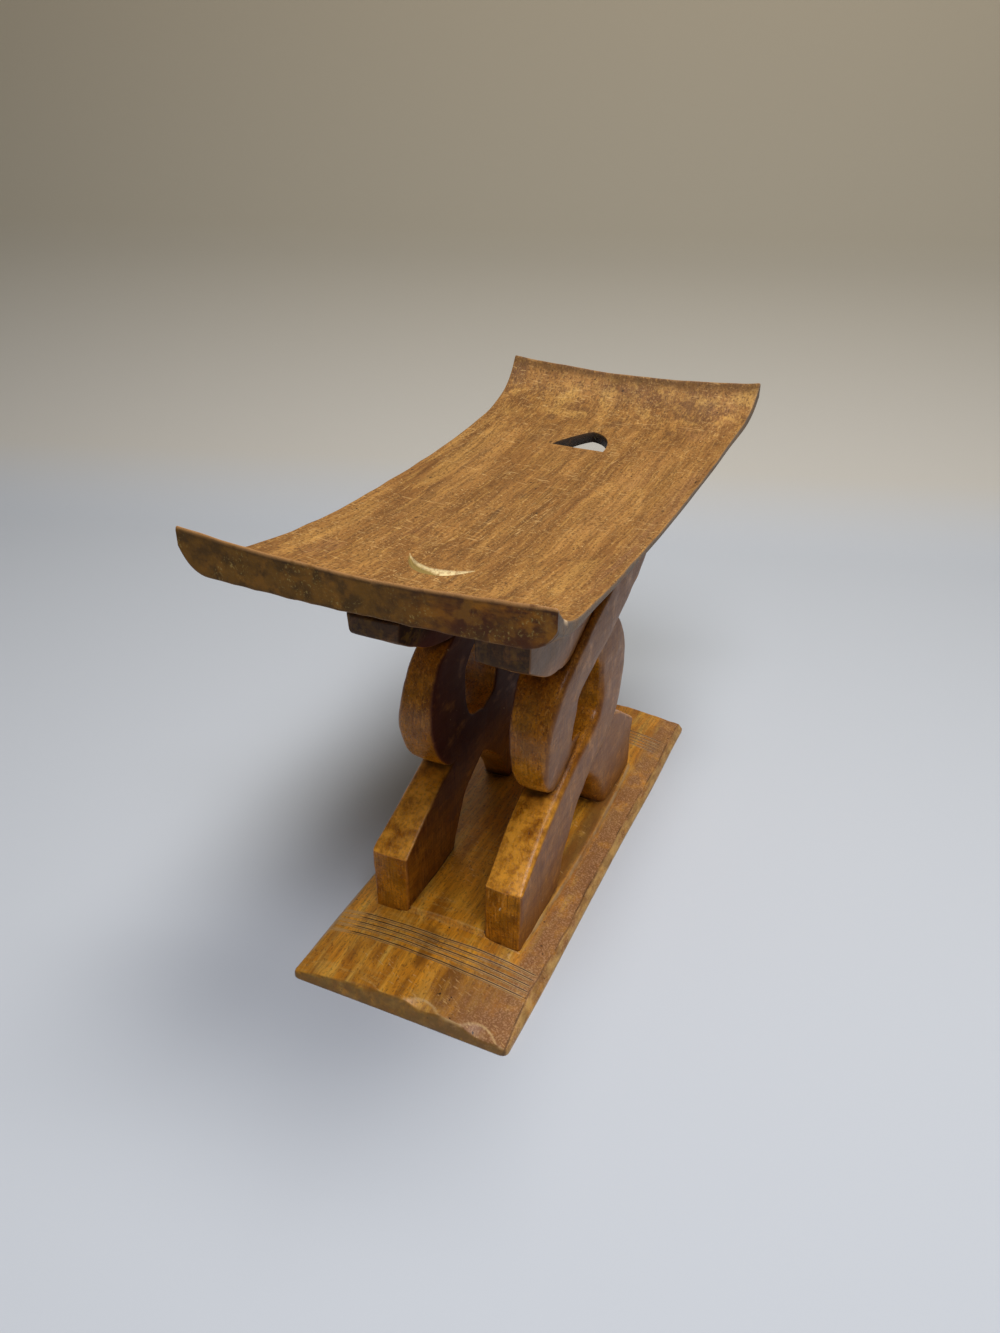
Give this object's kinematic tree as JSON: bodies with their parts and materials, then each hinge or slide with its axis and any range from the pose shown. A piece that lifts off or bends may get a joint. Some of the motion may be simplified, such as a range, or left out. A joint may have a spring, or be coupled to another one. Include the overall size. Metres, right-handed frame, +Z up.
{
  "type": "carved wooden stool",
  "caption": "Low carved wooden stool: a dished seat with upswept ends and a carrying hole, on two interlaced side panels over a plate base.",
  "frame": {"origin": "centre of the underside of the base, which is also the bottom centre of the bounding box", "axes": "+X along the seat, towards the end with the carrying hole; +Y across the seat; +Z up"},
  "size_m": [0.5, 0.2418, 0.3745],
  "materials": {
    "seat_wood": "worn, waxed, matt on top",
    "leg_wood": "waxed, satin, darkened in the hollows",
    "base_wood": "waxed, satin"
  },
  "bodies": {
    "root": {"seat": "seat_wood", "base": "base_wood", "right_front_strand": "leg_wood", "right_front_bracket": "leg_wood", "right_back_strand": "leg_wood", "left_front_strand": "leg_wood", "left_front_bracket": "leg_wood", "left_back_strand": "leg_wood"}
  },
  "joints": []
}
